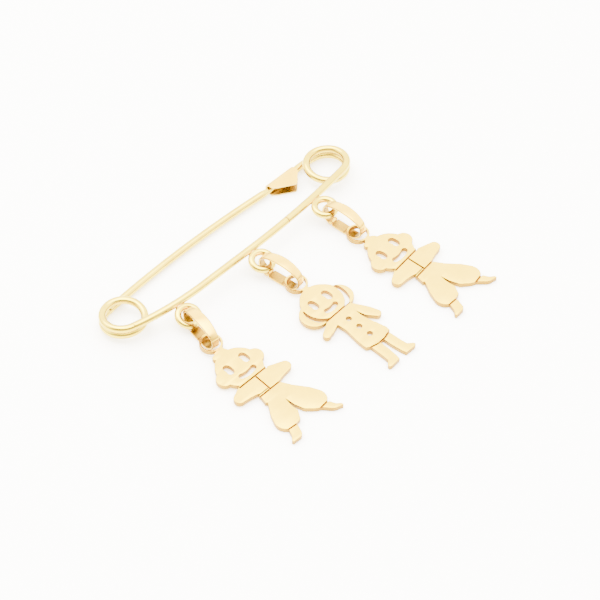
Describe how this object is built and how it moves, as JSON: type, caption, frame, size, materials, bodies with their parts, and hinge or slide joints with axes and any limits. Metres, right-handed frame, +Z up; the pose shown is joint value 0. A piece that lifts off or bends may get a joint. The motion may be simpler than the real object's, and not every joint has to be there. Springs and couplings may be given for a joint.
{
  "type": "charm brooch",
  "caption": "Gold safety-pin brooch of coiled wire, lying flat, with snap links on soldered rings that carry flat cut-out figures of children.",
  "frame": {"origin": "middle of the brooch's outline on the surface it lies on", "axes": "+X along the pin towards the catch, +Y from the figures towards the needle, +Z up from the surface it lies on"},
  "size_m": [0.0518, 0.0398, 0.0045],
  "materials": {
    "wire_gold": "polished yellow gold",
    "link_gold": "polished gold",
    "plate_gold": "polished gold"
  },
  "bodies": {
    "brooch": {"pin_frame": "wire_gold", "spring_coil": "wire_gold", "link_1": "link_gold", "link_2": "link_gold", "link_3": "link_gold", "boy_1": "plate_gold", "girl": "plate_gold", "boy_2": "plate_gold"},
    "needle": {"needle": "wire_gold"},
    "gate_1": {"gate_1": "link_gold"},
    "gate_2": {"gate_2": "link_gold"},
    "gate_3": {"gate_3": "link_gold"}
  },
  "joints": [
    {"name": "needle", "type": "hinge", "parent": "brooch", "child": "needle", "pos_m": [-0.02207, 0.01527, 0], "axis": [0, 0, 1], "range_deg": [-8, 0], "stiffness_Nm_per_rad": 0.02},
    {"name": "gate_1", "type": "hinge", "parent": "brooch", "child": "gate_1", "pos_m": [-0.01548, 0.00724, 0.00052], "axis": [-0.9893, 0.1458, 0.0052], "range_deg": [0, 20]},
    {"name": "gate_2", "type": "hinge", "parent": "brooch", "child": "gate_2", "pos_m": [0.00035, 0.00661, 0.0006], "axis": [-0.9893, -0.1414, 0.0348], "range_deg": [0, 20]},
    {"name": "gate_3", "type": "hinge", "parent": "brooch", "child": "gate_3", "pos_m": [0.01491, 0.00705, 0.00054], "axis": [-0.9953, -0.0891, 0.0383], "range_deg": [0, 20]}
  ]
}
